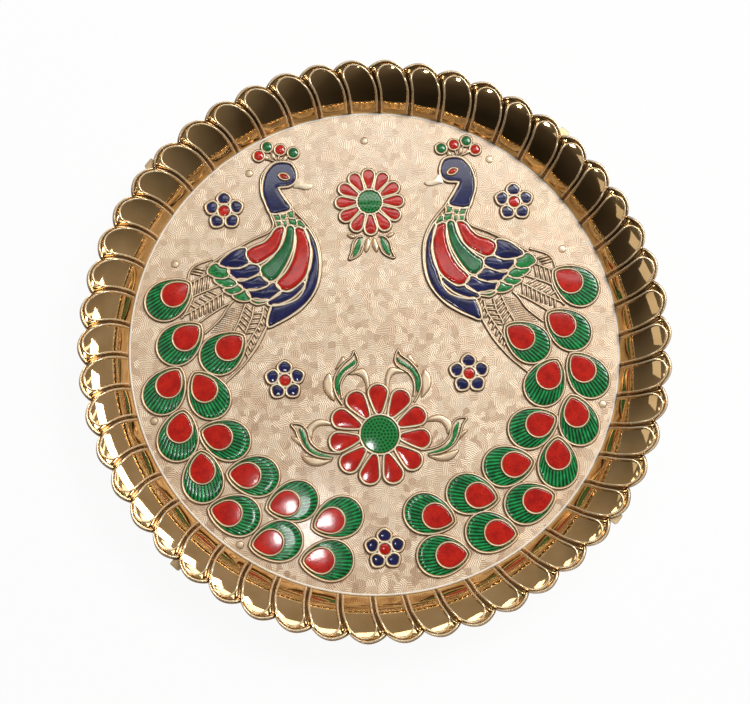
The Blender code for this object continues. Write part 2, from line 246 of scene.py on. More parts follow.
def enamel_material(name, deep, bright, scale=0.35):
    """Glossy poured enamel: clouds of two shades, fine grains under the skin, a wavy surface."""
    made = enamel_shader(name)
    place = made.place()
    cloud = made.noise(place, scale, 3.0)
    grain = made.noise(place, 2.6, 3.0)
    level = made.total(0.0, (cloud, 0.0, 0.5), (grain, 0.0, 0.5))
    made.link(made.ramp(level, (0.38, deep), (0.60, bright)), "Base Color")
    made.bump(made.noise(place, 0.8), 0.05)
    return made.material


def dotted_material(name, deep, bright):
    """Enamel over a stamped ground of dots, in rings about the UV map's middle."""
    made = enamel_shader(name)
    place = made.place()
    spot = made.node("UVMap").outputs["UV"]
    length = made.node("VectorMath", {0: spot}, operation="LENGTH").outputs["Value"]
    radius = made.math("DIVIDE", length, dot_pitch)
    parts = made.node("SeparateXYZ", {"Vector": spot}).outputs
    angle = made.math("ARCTAN2", parts[1], parts[0])
    share = made.math("ADD", made.math("DIVIDE", angle, 2.0 * math.pi), 0.5)
    dots = made.math("MULTIPLY_ADD", made.math("FLOOR", radius), 6.0, 3.0)
    turn = made.math("MULTIPLY", share, dots)
    out, along = (made.math("SUBTRACT", made.math("FRACT", v), 0.5) for v in (radius, turn))
    squares = made.math("ADD", *(made.math("MULTIPLY", v, v) for v in (out, along)))
    level = made.total(made.math("SQRT", squares), (made.noise(place, 1.5), 0.0, 0.12))
    made.link(made.ramp(level, (0.28, deep), (0.48, bright)), "Base Color")
    made.bump(made.noise(place, 0.8), 0.05)
    return made.material


def ribbed_material(name, deep, bright, pale):
    """Green enamel over fine ribs that run along each eye."""
    made = enamel_shader(name, 0.12, 0.05)
    across = made.node("SeparateXYZ", {"Vector": made.node("UVMap").outputs["UV"]}).outputs[0]
    wave = made.math("SINE", made.math("MULTIPLY", across, 2.0 * math.pi))
    cloud = made.noise(made.place(), 0.5, 3.0)
    level = made.total(cloud, (wave, 0.0, 0.36))
    made.link(made.ramp(level, (0.15, deep), (0.70, bright), (0.98, pale)), "Base Color")
    made.bump(wave, 0.16)
    return made.material


gilt = gilt_material("gilt_mirror", (0.72, 0.485, 0.235), (0.62, 0.40, 0.17), 0.05)
# A darker copy of the gilt: painted shade for the rim's grooves and the lip's outer side.
shaded_gilt = gilt_material("shaded_gilt", (0.27, 0.155, 0.07), (0.19, 0.10, 0.04), 0.20)
# A paler copy of the gilt: painted highlight along the rim's thin beads.
painted_highlight_gilt = gilt_material("painted_highlight_gilt", (0.92, 0.76, 0.50), (0.80, 0.61, 0.37), 0.24, 0.65)
cream_gilt = gilt_material("cream_gilt", (0.95, 0.82, 0.60), (0.86, 0.70, 0.48), 0.30, 0.25)
plain_gold = gilt_material("plain_gold", (0.80, 0.64, 0.44), (0.64, 0.48, 0.31), 0.34, 0.5)
# Brown for the painted shade along the walls and round the pads, buds and pips, and for the fine
# bars.
brown_line = gilt_material("brown_line", (0.46, 0.28, 0.14), (0.33, 0.19, 0.09), 0.45)
foil = foil_material()
red = enamel_material("red_enamel", (0.36, 0.006, 0.004), (0.60, 0.018, 0.007))
green = enamel_material("green_enamel", (0.004, 0.07, 0.022), (0.014, 0.19, 0.052))
navy = enamel_material("navy_enamel", (0.006, 0.008, 0.042), (0.014, 0.018, 0.105))
bright_green = enamel_material(
    "bright_green_enamel", (0.006, 0.10, 0.028), (0.030, 0.32, 0.08), 0.9
)
dotted_green = dotted_material("dotted_green_enamel", (0.003, 0.045, 0.014), (0.018, 0.24, 0.05))
ribbed = ribbed_material(
    "ribbed_green_enamel", (0.001, 0.026, 0.009), (0.006, 0.21, 0.045), (0.02, 0.42, 0.11)
)
broken_gilt = gilt_material("broken_gilt", (0.68, 0.50, 0.28), (0.40, 0.26, 0.12), 0.42, 0.6)
painted_edge_highlight = gilt_material("painted_edge_highlight", (0.93, 0.90, 0.83), (0.86, 0.82, 0.73), 0.45, 0.0)
glue = Shader("glue", Roughness=0.6)
glue_cloud = glue.noise(glue.place(), 0.3, 3.0)
glue.link(glue.ramp(glue_cloud, (0.3, (0.74, 0.70, 0.60)), (0.7, (0.86, 0.84, 0.78))), "Base Color")
glue.bump(glue_cloud, 0.3)


# Meshes

def new_object(name, data):
    made = bpy.data.objects.new(name, data)
    bpy.context.scene.collection.objects.link(made)
    return made


def piece(name, points, faces, material, slot, nodes=(), uvs=None):
    """A named mesh that rides on the plate, its points in millimetres."""
    mesh = bpy.data.meshes.new(name)
    mesh.from_pydata([(x * MM, y * MM, z * MM) for x, y, z in points], [], faces)
    if uvs:
        layer = mesh.uv_layers.new(name="UVMap")
        for loop in mesh.loops:
            layer.data[loop.index].uv = uvs[loop.vertex_index]
    mesh.shade_smooth()
    mesh.materials.append(material)
    mesh.update()
    made = new_object(name, mesh)
    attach(made, "root")
    if nodes:
        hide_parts(*nodes)
    return made


def polar(radius, degrees, height):
    angle = math.radians(degrees)
    return (radius * math.cos(angle), radius * math.sin(angle), height)


def bridge(faces, first, second, count):
    """Faces between two closed rings of the same count, given by their first points."""
    for i in range(count):
        j = (i + 1) % count
        faces.append((first + i, first + j, second + j, second + i))


def lobe_columns():
    """Places across a lobe: distances from the valley in a rib pair, then shares of the panel."""
    ribs = (0.0, 0.20, 0.38, 0.44, 0.54, 0.68, 0.85, 1.02, 1.16, 1.27, 1.33, 1.40)
    panel = (0.03, 0.10, 0.22, 0.38, 0.56, 0.78, 1.0)
    half = [("rib", place) for place in ribs] + [("panel", share) for share in panel]
    columns = [(kind, value, 1) for kind, value in half]
    columns += [(kind, value, -1) for kind, value in reversed(half[1:-1])]
    return columns


def phase_at(column, radius):
    """Where this column crosses a ring of that radius: its share of a lobe, its distance from
    the nearer valley, and its share of the way to the panel's middle."""
    kind, value, side = column
    pitch = 2.0 * math.pi * radius / lobe_count
    if kind == "rib":
        share = value / pitch
        panel = 0.0
    else:
        edge = rib_reach / pitch
        share = edge + (0.5 - edge) * value
        panel = value
    return (share if side > 0 else 1.0 - share), share * pitch, panel


def bulge_at(share):
    return math.sin(math.pi * share) ** 0.8 if 0.0 < share < 1.0 else 0.0


def rib_height(distance):
    """How high a rib stands at this distance from the pair's middle."""
    share = (distance - rib_middle) / rib_half
    return rib_stand * math.sqrt(max(0.0, 1.0 - share * share))


def read_table(radius, column):
    """The slope's height or turn at this radius, along a smooth curve through the table."""
    return float(np.interp(radius, *slope_curve[column]))


def slope_row(t):
    """The panels and the ribs between them, from the slope's foot at t = 0 to the lip at t = 1."""
    middle = slope_foot + (slope_end - slope_foot) * t

    def place(column):
        share, distance, panel = phase_at(column, middle)
        radius = middle + lobe_bulge * t**3.8 * bulge_at(share)
        sag = panel_sag * min(1.0, 4.0 * t) * (1.0 - (1.0 - panel) ** 2)
        height = read_table(radius, 1) - sag
        turn = read_table(middle, 2)
        if panel == 0.0:
            rise = read_table(radius + 0.1, 1) - read_table(radius - 0.1, 1)
            slope = math.atan2(rise, 0.2)
            stand = rib_height(distance) * min(1.0, t / 0.06)
            radius -= stand * math.sin(slope)
            height += stand * math.cos(slope)
        return radius, height, share, turn
    return place


def lip_row(turn):
    """The rounded bead that runs over each lobe's arch, at this many degrees round it."""
    angle = math.radians(turn)

    def place(column):
        share, distance, _ = phase_at(column, lip_ring)
        crest = valley_edge + lobe_bulge * bulge_at(share) - lip_outer
        half = lip_inner if turn < 90 else lip_outer
        rise = lip_rise if turn < 90 else 2.0 * lip_rise
        radius = crest - half * math.cos(angle)
        height = read_table(crest - lip_inner, 1) + lip_rise - rise * (1.0 - math.sin(angle))
        notch = 0.5 * max(0.0, 1.0 - distance / 0.3)
        return radius, height - notch, share, 0.84 + 0.16 * turn / 180.0
    return place


def outer_row(inset, height, turn=1.0, follow=1.0):
    def place(column):
        share, _, _ = phase_at(column, lip_ring)
        return valley_edge + lobe_bulge * follow * bulge_at(share) - inset, height, share, turn
    return place


def plain_row(radius, height):
    def place(column):
        return radius, height, phase_at(column, radius)[0], 0.0
    return place


def rim_spot(lobe, place):
    """A point of this lobe, from what a row gives for a column."""
    radius, height, share, turn = place
    angle = first_valley + 360.0 * (lobe + share) / lobe_count + swirl * (turn - 1.0)
    return polar(radius, angle, height)


def make_plate():
    """The moulding's sheet, row by row from the well's middle over the lip to the underside's."""
    columns = lobe_columns()
    rows = [plain_row(60.0, well_floor), plain_row(slope_foot, well_floor)]
    rows += [slope_row(t) for t in (0.0, 0.015, 0.03, 0.05, 0.075, 0.11)]
    rows += [slope_row(0.15 + 0.85 * i / 17.0) for i in range(18)]
    lip_start = len(rows)
    rows += [lip_row(turn) for turn in (0, 25, 50, 75, 100, 125, 150, 180)]
    edge_row = len(rows)
    # How far inside the lobes' edge, and height; then the share of the ribs' turn and of the lobes
    skirt = (
        (0.02, 13.9), (0.1, 12.2), (0.3, skirt_bottom), (1.3, skirt_bottom), (1.2, 13.7),
        (2.6, 12.9, 0.6, 0.3), (5.2, 10.9, 0.19, 0.05),
    )
    rows += [outer_row(*place) for place in skirt]
    # The underside and its foot ring: radius and height
    under = (
        (86.0, 8.3), (84.2, 4.2), (82.0, 1.2), (76.0, 1.2), (76.0, 0.0), (73.0, 0.0), (73.0, 1.2),
        (40.0, 1.2),
    )
    rows += [plain_row(*place) for place in under]
    total = lobe_count * len(columns)
    points = [
        rim_spot(lobe, row(column))
        for row in rows for lobe in range(lobe_count) for column in columns
    ]
    faces = []
    for k in range(len(rows) - 1):
        bridge(faces, k * total, (k + 1) * total, total)
    faces.append(tuple(range(total)))
    last = (len(rows) - 1) * total
    faces.append(tuple(reversed(range(last, last + total))))
    plate = piece("gilt_plate", points, faces, gilt, "gilt", ["plate_body"])
    plate.data.materials.append(shaded_gilt)
    # Painted shade: the faces in the groove between each rib pair, at the lip's inner foot and over
    # the lip's outer half take the darker shaded_gilt.
    grooves = (0, 1, len(columns) - 2, len(columns) - 1)
    for face in plate.data.polygons:
        row, place = divmod(face.index, total)
        in_groove = 2 <= row < edge_row and place % len(columns) in grooves
        on_edge = lip_start + 4 <= row <= edge_row + 1
        if on_edge or in_groove or lip_start <= row < lip_start + 2:
            face.material_index = 1
    points, faces = [], []
    for angle in (139.4, 46.2, -133.6, -39.3):
        add_gate(points, faces, angle)
    piece("trimmed_gates", points, faces, broken_gilt, "gilt").data.shade_flat()


def column_at(share, radius):
    """The column that lies at this share of a lobe on a ring of that radius."""
    side = 1 if share <= 0.5 else -1
    near = min(share, 1.0 - share)
    edge = rib_reach * lobe_count / (2.0 * math.pi * radius)
    if near < edge:
        return "rib", near / edge * rib_reach, side
    return "panel", (near - edge) / (0.5 - edge), side


def make_slope_curves():
    """Smooth curves of height and of turn over the radius, from the slope's table."""
    curves = {}
    for column in (1, 2):
        points = smooth([(row[0], row[column]) for row in slope_table], False, 0.15)
        curves[column] = (np.array([p.x for p in points]), np.array([p.y for p in points]))
    return curves


def add_rod(points, faces, line, size):
    """A thin round rod along a line, with narrow ends."""
    around = 8
    first = len(points)
    last = len(line) - 1
    for i, here in enumerate(line):
        way = (line[min(i + 1, last)] - line[max(i - 1, 0)]).normalized()
        side = way.cross(Vector((0.0, 0.0, 1.0))).normalized()
        up = side.cross(way)
        radius = size * min(1.0, 0.3 + 0.15 * i, 0.3 + 0.15 * (last - i))
        for k in range(around):
            angle = 2.0 * math.pi * k / around
            points.append(tuple(here + (side * math.cos(angle) + up * math.sin(angle)) * radius))
    for i in range(last):
        bridge(faces, first + i * around, first + (i + 1) * around, around)
    faces.append(tuple(first + k for k in reversed(range(around))))
    faces.append(tuple(first + last * around + k for k in range(around)))


def make_arches():
    """Two thin beads on each lobe. One goes up the rib at one side, round the lobe's end inside
    the lip and down the rib at the other side; one runs along the lip from notch to notch."""
    corners = (
        (0.080, 0.05), (0.077, 0.25), (0.076, 0.45), (0.080, 0.60), (0.093, 0.72), (0.120, 0.83),
        (0.17, 0.905), (0.26, 0.95), (0.38, 0.975), (0.50, 0.98), (0.62, 0.975), (0.74, 0.955),
        (0.83, 0.92), (0.89, 0.86), (0.915, 0.78), (0.922, 0.65), (0.924, 0.45), (0.923, 0.25),
        (0.920, 0.05),
    )
    wide, long = 11.0, 8.0  # about a lobe's size on the slope, for an even curve
    inner = smooth([(x * wide, y * long) for x, y in corners], False, 0.35)
    outer = [0.015 + 0.97 * i / 30.0 for i in range(31)]
    points, faces = [], []
    for lobe in range(lobe_count):
        line = []
        for corner in inner:
            share, t = corner.x / wide, corner.y / long
            middle = slope_foot + (slope_end - slope_foot) * t
            line.append(Vector(rim_spot(lobe, slope_row(t)(column_at(share, middle)))))
        add_rod(points, faces, line, arch_radius)
        line = [
            Vector(rim_spot(lobe, lip_row(100)(column_at(share, lip_ring)))) for share in outer
        ]
        add_rod(points, faces, line, line_radius)
    # The beads' paler gilt is a painted highlight.
    piece("rim_arches", points, faces, painted_highlight_gilt, "gilt")


def add_gate(points, faces, angle):
    """A trimmed moulding gate: a small block with worn corners in the notch between two lobes."""
    first = len(points)
    turn = Matrix.Rotation(math.radians(angle), 3, "Z")
    sections = ((92.6, 1.8, 1.2), (96.3, 1.75, 1.15), (96.6, 1.45, 0.85))
    for radius, half, rise in sections:
        for y, z in ((-half, -rise), (half, -rise), (half, rise), (-half, rise)):
            points.append(tuple(turn @ Vector((radius, y, 13.6 + z))))
    for k in range(len(sections) - 1):
        bridge(faces, first + 4 * k, first + 4 * (k + 1), 4)
    faces.append(tuple(first + i for i in (3, 2, 1, 0)))
    faces.append(tuple(first + 4 * (len(sections) - 1) + i for i in range(4)))


def turned(section):
    """Points and faces of a section, radius and height, that turns about the plate's axis."""
    points = [polar(r, 360.0 * i / round_count, z) for r, z in section for i in range(round_count)]
    faces = []
    for k in range(len(section) - 1):
        bridge(faces, (k + 1) * round_count, k * round_count, round_count)
    return points, faces


def make_disc():
    """The foil disc with its rounded edge, and a near-white ring round it that is a painted
    highlight on that edge.
    """
    flat_radius, edge = 79.0, 0.55
    section = [(flat_radius, disc_top)]
    for i in range(7):
        angle = math.pi / 2.0 * i / 6.0
        radius = disc_radius - edge + edge * math.sin(angle)
        section.append((radius, disc_top - edge + edge * math.cos(angle)))
    section += [(disc_radius, disc_bottom), (flat_radius, disc_bottom)]
    points, faces = turned(section)
    last = (len(section) - 1) * round_count
    faces.insert(0, tuple(range(round_count)))
    faces.append(tuple(reversed(range(last, last + round_count))))
    piece("foil_disc", points, faces, foil, "pale_gilt", ["inlay_disc"])
    # Painted highlight: a near-white ring over the disc's rounded edge.
    section = ((80.95, enamel_foot), (81.0, 4.46), (81.35, 4.46), (81.62, 4.15), (81.62, 3.7))
    piece("disc_edge", *turned(section), painted_edge_highlight, "pale_gilt")


# Outlines and the strips and pads that follow them

def smooth(corners, closed=True, step=0.5):
    """Points along a Catmull-Rom curve through these corners, about this far apart."""
    count = len(corners)
    spans = count if closed else count - 1
    points = []
    for i in range(spans):
        keys = [i - 1, i, i + 1, i + 2]
        if closed:
            keys = [key % count for key in keys]
        else:
            keys = [min(max(key, 0), count - 1) for key in keys]
        before, start, end, after = (Vector(corners[key]) for key in keys)
        pieces = max(1, round((end - start).length / step))
        for k in range(pieces):
            t = k / pieces
            curve = (
                start * 2.0
                + (end - before) * t
                + (before * 2.0 - start * 5.0 + end * 4.0 - after) * t**2
                + (start * 3.0 - before - end * 3.0 + after) * t**3
            )
            points.append(curve / 2.0)
    if not closed:
        points.append(Vector(corners[-1]))
    return points


def flip(points, on):
    """The same points on the artwork's other side."""
    return [Vector((-p[0], p[1])) for p in reversed(points)] if on else [Vector(p) for p in points]


def spot_on(x, y, on):
    """A point, on the artwork's other side if asked."""
    return Vector((-x if on else x, y))


def middle_of(points):
    return sum(points, Vector((0.0, 0.0))) / len(points)


def area(points):
    total = 0.0
    for a, b in zip(points, points[1:] + points[:1]):
        total += a[0] * b[1] - a[1] * b[0]
    return total / 2.0


def sides_of(points, closed):
    """The mitred direction across a path at each of its points."""
    count = len(points)
    across = []
    for i, here in enumerate(points):
        before = points[i - 1] if closed or i else None
        after = points[(i + 1) % count] if closed or i < count - 1 else None
        ways = []
        if before is not None and (here - before).length > 1e-6:
            ways.append((here - before).normalized())
        if after is not None and (after - here).length > 1e-6:
            ways.append((after - here).normalized())
        mean = sum(ways, Vector((0.0, 0.0)))
        mean = mean.normalized() if mean.length > 1e-6 else ways[0]
        reach = 1.0 / max(0.45, mean.dot(ways[0]))
        across.append(Vector((-mean.y, mean.x)) * reach)
    return across


def grown(points, distance):
    """A closed outline moved outwards."""
    outward = -1.0 if area(points) > 0.0 else 1.0
    return [p + s * distance * outward for p, s in zip(points, sides_of(points, True))]


WALL = ((-1.0, 0.0), (-0.94, 0.45), (-0.6, 0.86), (0.0, 1.0), (0.6, 0.86), (0.94, 0.45), (1.0, 0.0))
BAND = ((-1.0, 0.0), (-0.8, 1.0), (0.8, 1.0), (1.0, 0.0))


class Strips:
    """Many beads in one mesh."""

    def __init__(self):
        self.points = []
        self.faces = []

    def add(self, path, closed, width, base, top, shape=WALL):
        path = [Vector(p) for p in path]
        first, size = len(self.points), len(shape)
        for here, side in zip(path, sides_of(path, closed)):
            for out, up in shape:
                x, y = here + side * out * width / 2.0
                self.points.append((x, y, base + (top - base) * up))
        count = len(path)
        for i in range(count if closed else count - 1):
            j = (i + 1) % count
            for k in range(size - 1):
                a, b = first + i * size + k, first + j * size + k
                self.faces.append((a, b, b + 1, a + 1))
        if not closed:
            self.faces.append(tuple(first + k for k in range(size)))
            last = first + (count - 1) * size
            self.faces.append(tuple(last + k for k in reversed(range(size))))


class Walls:
    """The raised cream walls of one motif, and the brown line of painted shade that shows on both
    sides.
    """

    def __init__(self):
        self.walls = Strips()
        self.lines = Strips()

    def add(self, path, closed=True, width=wall_width, top=wall_top):
        self.walls.add(path, closed, width, wall_base, top)
        low = top - wall_top + shade_line_top
        self.lines.add(path, closed, width + 2.0 * shade_line_width, wall_base, low, BAND)

    def line(self, path, closed, width, top):
        """A brown line alone."""
        self.lines.add(path, closed, width, wall_base, top, BAND)

    def make(self, name):
        piece(name + "_walls", self.walls.points, self.walls.faces, cream_gilt, "pale_gilt")
        piece(name + "_lines", self.lines.points, self.lines.faces, brown_line, "pale_gilt")


def depths_inside(points, outline):
    """How far each point lies inside the outline, and under zero for one that lies outside."""
    points = np.array([tuple(p) for p in points])[:, None, :]
    start = np.array([tuple(p) for p in outline])[None, :, :]
    end = np.roll(start, -1, axis=1)
    run = end - start
    share = ((points - start) * run).sum(axis=2) / np.maximum((run * run).sum(axis=2), 1e-12)
    nearest = start + run * np.clip(share, 0.0, 1.0)[:, :, None]
    distance = np.sqrt(((points - nearest) ** 2).sum(axis=2)).min(axis=1)
    x, y = points[:, :, 0], points[:, :, 1]
    spans = (start[:, :, 1] > y) != (end[:, :, 1] > y)
    rise = np.where(run[:, :, 1] == 0.0, 1e-12, run[:, :, 1])
    crossing = x < start[:, :, 0] + run[:, :, 0] * (y - start[:, :, 1]) / rise
    inside = (spans & crossing).sum(axis=1) % 2 == 1
    return np.where(inside, distance, -distance)


class Pads:
    """Enamel poured between walls: its skin climbs a little at the edge and domes inside."""

    def __init__(self):
        self.points = []
        self.faces = []
        self.uvs = []

    def add(self, outline, level, rise, depth=1.2, grain=0.55):
        """Fills an outline of any form. The skin has risen fully this depth inside the edge."""
        outline = [Vector(p) for p in outline]
        if area(outline) < 0.0:
            outline = outline[::-1]
        count = len(outline)
        low_x, high_x = min(p.x for p in outline), max(p.x for p in outline)
        low_y, high_y = min(p.y for p in outline), max(p.y for p in outline)
        grid = []
        for i in range(int((high_x - low_x) / grain) + 1):
            for k in range(int((high_y - low_y) / grain) + 1):
                grid.append(Vector((low_x + grain * (i + 0.5 * (k % 2)), low_y + grain * k)))
        inner = [p for p, inside in zip(grid, depths_inside(grid, outline)) if inside > 0.3 * grain]
        made = delaunay_2d_cdt(outline + inner, [], [list(range(count))], 1, 1e-5)
        spots, triangles = made[0], made[2]
        first = len(self.points)
        for spot, inside in zip(spots, depths_inside(spots, outline)):
            share = min(1.0, max(0.0, inside) / depth)
            self.put(spot, level + rise * (1.0 - (1.0 - share) ** 2))
        edges = {}
        for triangle in triangles:
            self.faces.append(tuple(first + i for i in triangle))
            for a, b in zip(triangle, (*triangle[1:], triangle[0])):
                edges[(a, b)] = True
        for a, b in edges:
            if (b, a) not in edges:
                low = len(self.points)
                self.put(spots[a], enamel_foot)
                self.put(spots[b], enamel_foot)
                self.faces.append((first + b, first + a, low, low + 1))

    def dome(self, outline, centre, level, rise, uv=None):
        """The same for a cell that its middle sees all of."""
        first = len(self.points)
        count = len(outline)
        rings = ((1.0, enamel_foot), (1.0, level))
        rings += tuple((s, level + rise * (1.0 - s * s)) for s in (0.92, 0.8, 0.65, 0.45, 0.22))
        for share, height in rings:
            for p in outline:
                x, y = centre + (Vector(p) - centre) * share
                self.put((x, y), height, uv(x, y) if uv else None)
        for k in range(len(rings) - 1):
            bridge(self.faces, first + k * count, first + (k + 1) * count, count)
        self.faces.append(tuple(first + (len(rings) - 1) * count + i for i in range(count)))

    def put(self, spot, height, uv=None):
        self.points.append((spot[0], spot[1], height))
        self.uvs.append(uv or (spot[0], spot[1]))

    def make(self, name, material, slot, nodes=()):
        return piece(name, self.points, self.faces, material, slot, nodes, self.uvs)


sides = (("left", False), ("right", True))


# Tail eyes

# Each outline's round radius, how much further its tip reaches, and the tip's width and sharpness
eye_green = (6.15, 0.70, 0.62, 1.35)
eye_red = (3.9, 0.46, 0.50, 1.4)
eye_set_back = 3.8
eye_rib_meet = 16.0  # from an eye's centre, past its tip, to where its ribs would meet
eye_ribs = 19.8  # ribs across a fan as wide as it is long
red_level = 5.14
red_wall_top = 5.34
tail_eyes = (
    (-66.5, 19.6, 36.0),
    (-63.0, 4.7, 40.0),
    (-48.9, 0.9, 38.0),
    (-68.6, -10.8, 56.0),
    (-56.8, -12.7, 120.0),
    (-65.2, -25.7, 78.0),
    (-52.3, -28.5, 159.0),
    (-58.1, -39.4, 93.0),
    (-43.4, -41.3, 173.0),
    (-49.7, -53.3, 165.0),
    (-31.0, -50.8, 192.0),
    (-36.6, -63.1, 186.0),
    (-16.7, -56.9, 198.0),
    (-20.5, -69.6, 179.0),
)


def drop(radius, reach, width, sharpness, steps=48):
    """A drop about its round part's centre, pointing along +X, its point first."""
    points = []
    for i in range(steps):
        angle = 2.0 * math.pi * i / steps
        off = min(angle, 2.0 * math.pi - angle)
        distance = radius * (1.0 + reach * math.exp(-((off / width) ** sharpness)))
        points.append(Vector((distance * math.cos(angle), distance * math.sin(angle))))
    return points


def placed(points, eye, offset):
    x, y, direction = eye
    turn = math.radians(direction)
    along = Vector((math.cos(turn), math.sin(turn)))
    across = Vector((-math.sin(turn), math.cos(turn)))
    centre = Vector((x, y)) - along * offset
    return [centre + along * p.x + across * p.y for p in points]


def make_tail(side, on):
    walls, greens = Walls(), Pads()
    for number, eye in enumerate(tail_eyes, start=1):
        outer = flip(placed(drop(*eye_green), eye, eye_set_back), on)
        inner = flip(placed(drop(*eye_red), eye, 0.0), on)
        centre = spot_on(eye[0], eye[1], on)
        turn = math.radians(eye[2])
        axis = Vector((math.cos(turn) * (-1.0 if on else 1.0), math.sin(turn)))
        focus = centre + axis * eye_rib_meet

        def fan(x, y, focus=focus, axis=axis):
            away = Vector((x, y)) - focus
            side_way = away.dot(Vector((-axis.y, axis.x)))
            return (eye_ribs * side_way / max(6.0, -away.dot(axis)), away.dot(axis))

        first = len(greens.points)
        count = len(outer)
        # The green's skin: share of the way in to the red, and height
        levels = (
            (0.0, enamel_foot), (0.0, 4.80), (0.07, 4.88), (0.18, 4.94), (0.4, 4.965),
            (1.0, 4.96),
        )
        for inwards, height in levels:
            for p in [a.lerp(b, inwards) for a, b in zip(outer, inner)]:
                greens.points.append((p.x, p.y, height))
                greens.uvs.append(fan(p.x, p.y))
        for k in range(len(levels) - 1):
            bridge(greens.faces, first + k * count, first + (k + 1) * count, count)
        reds = Pads()
        reds.dome(grown(inner, -0.05), centre, red_level, 0.05)
        reds.make(f"{side}_eye_{number}_red", red, "red_enamel", [f"{side}_tail_eye_{number}"])
        walls.add(grown(outer, 0.35), width=0.62)
        walls.add(grown(inner, 0.26), width=0.52, top=red_wall_top)
    greens.make(f"{side}_tail_greens", ribbed, "green_enamel", [f"{side}_tail_green"])
    walls.make(f"{side}_tail")


# Birds

neck = (
    (-28.6, 64.3), (-26.3, 63.6), (-25.2, 61.4), (-24.9, 59.4), (-25.5, 57.6), (-27.3, 56.5),
    (-30.4, 56.2), (-31.2, 55.3), (-29.3, 51.7), (-27.3, 48.3), (-30.2, 47.2), (-33.3, 47.1),
    (-34.7, 50.3), (-35.7, 53.6), (-35.6, 57.3), (-34.5, 60.8), (-32.3, 63.5), (-30.5, 64.2),
)
breast = (
    (-21.7, 40.6), (-19.7, 33.6), (-20.3, 27.9), (-21.3, 25.1), (-22.6, 20.8), (-25.2, 17.8),
    (-28.0, 15.9), (-31.7, 14.5), (-33.9, 14.1), (-35.3, 8.4), (-32.4, 9.3), (-27.6, 11.9),
    (-23.1, 15.4), (-20.2, 19.3), (-18.7, 23.5), (-18.2, 29.0), (-18.8, 34.7), (-20.1, 38.2),
)
feathers = (
    ("back_feather", "red", (
        (-32.0, 40.8), (-29.7, 41.5), (-30.1, 38.9), (-31.3, 35.2), (-33.1, 32.9), (-35.9, 31.0),
        (-38.2, 29.8), (-40.1, 30.1), (-41.4, 31.8), (-41.5, 33.5), (-39.7, 34.9), (-36.0, 36.3),
        (-33.7, 38.4),
    )),
    ("middle_feather", "green", (
        (-27.9, 41.5), (-26.4, 41.5), (-26.3, 38.7), (-26.9, 34.4), (-28.4, 30.5), (-30.5, 26.8),
        (-32.8, 24.0), (-35.0, 23.7), (-36.6, 25.3), (-36.9, 27.9), (-34.8, 29.5), (-32.0, 32.3),
        (-29.9, 35.1), (-28.6, 38.5),
    )),
    ("front_feather", "red", (
        (-25.0, 41.0), (-22.6, 40.2), (-21.4, 36.5), (-21.1, 32.5), (-21.7, 28.5), (-22.8, 24.8),
        (-25.1, 22.1), (-27.9, 20.3), (-29.9, 20.2), (-31.5, 21.4), (-31.7, 22.8), (-28.8, 25.9),
        (-26.8, 29.3), (-25.5, 33.2), (-24.9, 37.2),
    )),
)
back_scales = (
    ((-50.8, 29.7), (-48.1, 32.6), (-45.3, 34.2), (-42.6, 34.6), (-42.7, 32.4), (-41.8, 29.9),
     (-43.8, 28.8), (-46.6, 28.6)),
    ((-47.9, 27.3), (-44.3, 27.5), (-41.0, 28.9), (-38.4, 28.3), (-38.3, 26.5), (-41.1, 25.0),
     (-43.9, 24.1), (-46.0, 25.0)),
    ((-45.1, 23.6), (-41.6, 23.7), (-38.5, 24.8), (-37.3, 24.5), (-35.3, 22.5), (-37.4, 21.4),
     (-40.2, 20.7), (-43.0, 21.3)),
    ((-41.8, 20.0), (-38.4, 20.0), (-35.6, 20.8), (-33.2, 22.2), (-31.4, 19.6), (-33.3, 18.1),
     (-35.7, 17.1), (-38.7, 17.1), (-40.5, 17.9)),
    ((-35.1, 15.6), (-32.4, 17.8), (-30.7, 19.0), (-28.1, 18.9), (-25.8, 20.2), (-23.4, 22.1),
     (-23.9, 19.7), (-25.8, 17.3), (-28.7, 16.0), (-32.0, 15.3)),
)
rump_scales = (
    ((-54.9, 27.0), (-54.1, 28.7), (-52.4, 29.6), (-51.0, 28.8), (-48.5, 27.5), (-49.0, 25.3),
     (-51.8, 25.2), (-53.6, 26.0)),
    ((-52.7, 24.4), (-50.2, 24.2), (-48.0, 24.6), (-45.9, 22.9), (-46.7, 22.1), (-49.1, 21.9),
     (-51.1, 22.8)),
    ((-49.6, 20.7), (-47.2, 21.0), (-45.1, 22.0), (-44.0, 20.8), (-45.6, 19.7), (-47.5, 19.4),
     (-48.6, 20.0)),
    ((-46.6, 18.6), (-44.5, 19.1), (-42.6, 20.0), (-41.5, 17.4), (-43.1, 17.0), (-45.0, 17.4)),
    ((-40.6, 16.7), (-39.4, 17.0), (-37.5, 16.6), (-35.7, 16.5), (-37.1, 16.0), (-39.0, 15.8)),
)
collar_cells = (
    ((-32.7, 46.3), (-30.7, 46.0), (-30.4, 44.2), (-31.8, 44.0)),
    ((-30.2, 46.0), (-28.5, 46.2), (-28.8, 45.0), (-29.5, 44.5)),
    ((-28.0, 46.6), (-26.1, 47.3), (-26.0, 44.9), (-26.9, 44.9)),
    ((-31.8, 43.8), (-30.5, 43.8), (-30.3, 42.2), (-31.4, 42.3)),
    ((-29.5, 43.7), (-28.5, 43.8), (-28.3, 42.3), (-28.9, 41.7)),
    ((-27.8, 44.7), (-25.4, 44.3), (-25.0, 42.7), (-26.2, 42.2), (-27.2, 42.9)),
    ((-24.4, 43.9), (-23.6, 43.7), (-22.1, 41.6), (-23.4, 41.5), (-24.5, 42.6)),
)
